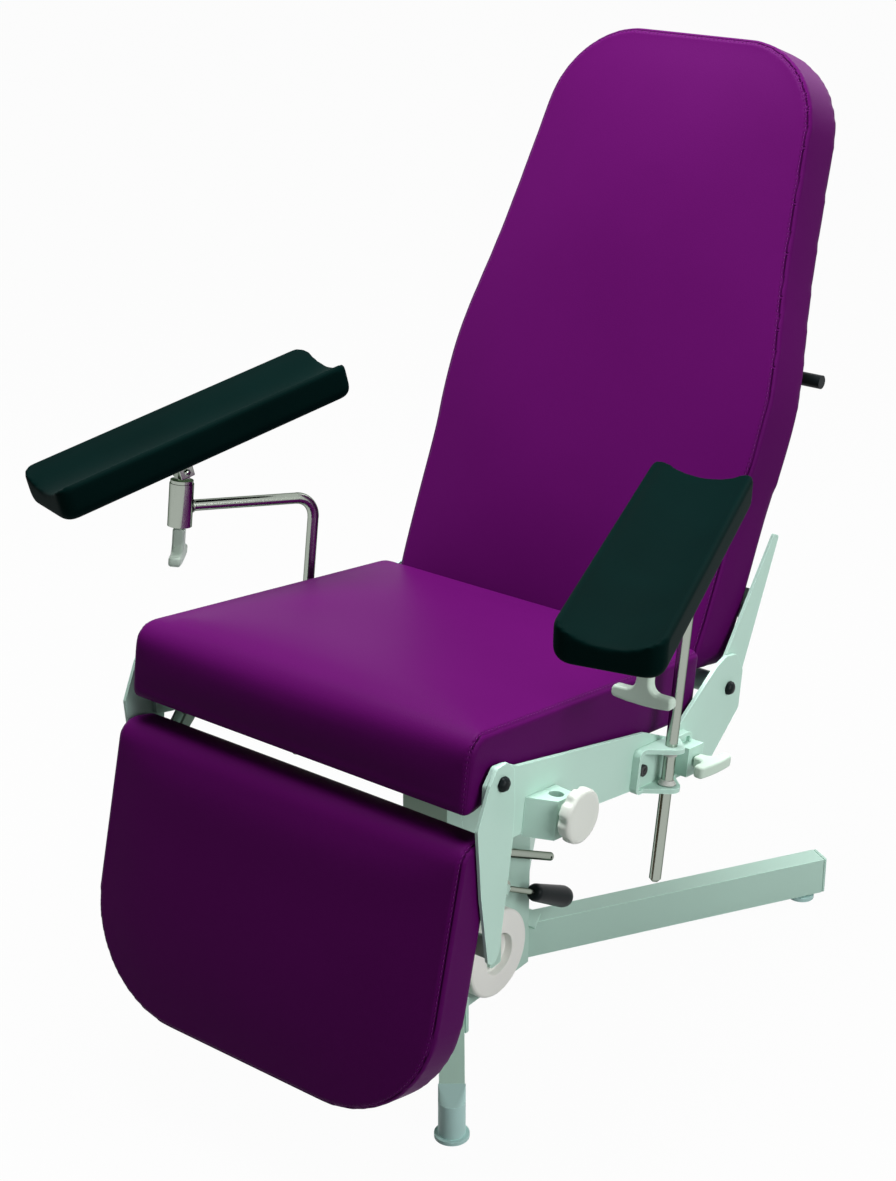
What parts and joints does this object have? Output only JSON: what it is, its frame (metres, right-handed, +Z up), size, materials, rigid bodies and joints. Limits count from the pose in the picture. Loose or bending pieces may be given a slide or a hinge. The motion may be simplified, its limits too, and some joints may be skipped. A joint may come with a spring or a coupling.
{
  "type": "patient recliner chair",
  "caption": "Padded blood-sampling recliner with linked backrest and leg rest, adjustable arm gutters on bent rods and a splayed tube base with transport wheels.",
  "frame": {"origin": "centre of the bounding box on the floor, in the upright pose", "axes": "+X to the sitter's left, -Y to the front, +Z up"},
  "size_m": [0.9468, 1.0123, 1.2261],
  "materials": {
    "frame_paint": "pale grey-green powder coat",
    "stainless": "drawn and polished stainless rod",
    "vinyl": "smooth plum coated upholstery over foam",
    "board": "plywood",
    "black_plastic": "glossy black moulding",
    "black_paint": "black paint",
    "grey_plastic": "grey-green moulded plastic",
    "ivory_plastic": "off-white moulded plastic",
    "nylon": "nylon bush",
    "moulded_foam": "self-skinned moulded foam, near black"
  },
  "bodies": {
    "frame": {"column": "frame_paint", "column_head": "frame_paint", "base_bridge": "frame_paint", "base_gusset": "frame_paint", "front_leg_left": "frame_paint", "front_leg_right": "frame_paint", "rear_leg_left": "frame_paint", "rear_leg_right": "frame_paint", "rear_end_caps": "frame_paint", "front_feet": "grey_plastic", "wheel_axle": "stainless", "pedal_block": "frame_paint", "stub_post": "stainless", "side_plate_left": "frame_paint", "side_plate_right": "frame_paint", "seat_straps": "frame_paint", "seat_board": "board", "seat_pad": "vinyl", "pivot_pins": "stainless", "pivot_caps": "black_plastic", "gas_anchor": "frame_paint", "gas_cylinder": "black_paint", "rail_clamp_left": "frame_paint", "rail_clamp_right": "frame_paint", "socket_block": "frame_paint"},
    "back": {"back_arm_left": "frame_paint", "back_arm_right": "frame_paint", "back_bars": "frame_paint", "back_board": "board", "back_pad": "vinyl", "push_bar": "stainless", "push_grips": "black_plastic"},
    "leg_rest": {"leg_arm_left": "frame_paint", "leg_arm_right": "frame_paint", "leg_bars": "frame_paint", "leg_board": "board", "leg_pad": "vinyl"},
    "link": {"sync_link": "stainless"},
    "gas_rod": {"gas_rod": "stainless"},
    "lever": {"release_lever": "stainless", "lever_grip": "black_plastic"},
    "wheel_left": {"wheel_left": "ivory_plastic"},
    "wheel_right": {"wheel_right": "ivory_plastic"},
    "foot_left": {"levelling_foot_left": "grey_plastic"},
    "foot_right": {"levelling_foot_right": "grey_plastic"},
    "socket_knob": {"socket_knob": "ivory_plastic"},
    "arm_bush_left": {"arm_bush_left": "nylon"},
    "arm_left": {"arm_rod_left": "stainless"},
    "post_left": {"gutter_post_left": "stainless"},
    "gutter_left": {"gutter_left": "moulded_foam"},
    "sleeve_handle_left": {"sleeve_handle_left": "grey_plastic"},
    "clamp_handle_left": {"clamp_handle_left": "grey_plastic"},
    "arm_bush_right": {"arm_bush_right": "nylon"},
    "arm_right": {"arm_rod_right": "stainless"},
    "post_right": {"gutter_post_right": "stainless"},
    "gutter_right": {"gutter_right": "moulded_foam"},
    "sleeve_handle_right": {"sleeve_handle_right": "grey_plastic"},
    "clamp_handle_right": {"clamp_handle_right": "grey_plastic"}
  },
  "joints": [
    {"name": "back_recline", "type": "hinge", "parent": "frame", "child": "back", "pos_m": [0, 0.14175, 0.45811], "axis": [-1, 0, 0], "range_deg": [0, 62]},
    {"name": "leg_rest_lift", "type": "hinge", "parent": "frame", "child": "leg_rest", "pos_m": [0, -0.3571, 0.53], "axis": [-1, 0, 0], "range_deg": [0, 62]},
    {"name": "link_turn", "type": "hinge", "parent": "back", "child": "link", "pos_m": [-0.236, 0.17201, 0.38949], "axis": [-1, 0, 0], "range_deg": [-62, 0]},
    {"name": "gas_rod_slide", "type": "slide", "parent": "frame", "child": "gas_rod", "axis": [0, -0.9898, 0.1426], "range_m": [0, 0.0776]},
    {"name": "release_lever_lift", "type": "hinge", "parent": "frame", "child": "lever", "pos_m": [0.06, -0.0655, 0.186], "axis": [1, 0, 0], "range_deg": [0, 10], "stiffness_Nm_per_rad": 6},
    {"name": "wheel_left_turn", "type": "hinge", "parent": "frame", "child": "wheel_left", "pos_m": [0, -0.0675, 0.084], "axis": [1, 0, 0], "continuous": true},
    {"name": "wheel_right_turn", "type": "hinge", "parent": "frame", "child": "wheel_right", "pos_m": [0, -0.0675, 0.084], "axis": [1, 0, 0], "continuous": true},
    {"name": "foot_left_turn", "type": "hinge", "parent": "frame", "child": "foot_left", "pos_m": [0.2421, 0.4385, 0], "axis": [0, 0, 1], "continuous": true},
    {"name": "foot_right_turn", "type": "hinge", "parent": "frame", "child": "foot_right", "pos_m": [-0.2421, 0.4385, 0], "axis": [0, 0, 1], "continuous": true},
    {"name": "socket_knob_turn", "type": "hinge", "parent": "frame", "child": "socket_knob", "pos_m": [0.3085, -0.27105, 0.46809], "axis": [1, 0, 0], "range_deg": [-180, 180]},
    {"name": "arm_left_swivel", "type": "hinge", "parent": "frame", "child": "arm_bush_left", "pos_m": [0.29, -0.02454, 0.48208], "axis": [0, 0.1426, 0.9898], "range_deg": [-10, 60]},
    {"name": "arm_left_height", "type": "slide", "parent": "arm_bush_left", "child": "arm_left", "axis": [0, 0.1426, 0.9898], "range_m": [-0.03, 0.06]},
    {"name": "gutter_left_swivel", "type": "hinge", "parent": "arm_left", "child": "post_left", "pos_m": [0.35313, -0.18741, 0.68236], "axis": [0, 0.1426, 0.9898], "range_deg": [-20, 20]},
    {"name": "gutter_left_tilt", "type": "hinge", "parent": "post_left", "child": "gutter_left", "pos_m": [0.35313, -0.18313, 0.71205], "axis": [0.9489, 0.3124, -0.045], "range_deg": [-8, 8]},
    {"name": "sleeve_handle_left_turn", "type": "hinge", "parent": "arm_left", "child": "sleeve_handle_left", "pos_m": [0.35313, -0.19383, 0.63782], "axis": [0, 0.1426, 0.9898], "range_deg": [-90, 90]},
    {"name": "clamp_handle_left_turn", "type": "hinge", "parent": "frame", "child": "clamp_handle_left", "pos_m": [0.2985, 0.02459, 0.40933], "axis": [1, 0, 0], "range_deg": [-90, 90]},
    {"name": "arm_right_swivel", "type": "hinge", "parent": "frame", "child": "arm_bush_right", "pos_m": [-0.29, -0.03839, 0.48407], "axis": [0, 0.1426, 0.9898], "range_deg": [-60, 10]},
    {"name": "arm_right_height", "type": "slide", "parent": "arm_bush_right", "child": "arm_right", "axis": [0, 0.1426, 0.9898], "range_m": [-0.03, 0.06]},
    {"name": "gutter_right_swivel", "type": "hinge", "parent": "arm_right", "child": "post_right", "pos_m": [-0.35627, -0.2002, 0.6842], "axis": [0, 0.1426, 0.9898], "range_deg": [-20, 20]},
    {"name": "gutter_right_tilt", "type": "hinge", "parent": "post_right", "child": "gutter_right", "pos_m": [-0.35627, -0.19593, 0.71389], "axis": [0.9435, -0.328, 0.0473], "range_deg": [-8, 8]},
    {"name": "sleeve_handle_right_turn", "type": "hinge", "parent": "arm_right", "child": "sleeve_handle_right", "pos_m": [-0.35627, -0.20662, 0.63966], "axis": [0, 0.1426, 0.9898], "range_deg": [-90, 90]},
    {"name": "clamp_handle_right_turn", "type": "hinge", "parent": "frame", "child": "clamp_handle_right", "pos_m": [-0.2985, 0.01073, 0.41132], "axis": [1, 0, 0], "range_deg": [-90, 90]}
  ],
  "couplings": [
    {"joint": "leg_rest_lift", "follows": "back_recline", "ratio": 1},
    {"joint": "link_turn", "follows": "back_recline", "ratio": -1},
    {"joint": "gas_rod_slide", "follows": "back_recline", "m_per_rad": 0.071383}
  ]
}
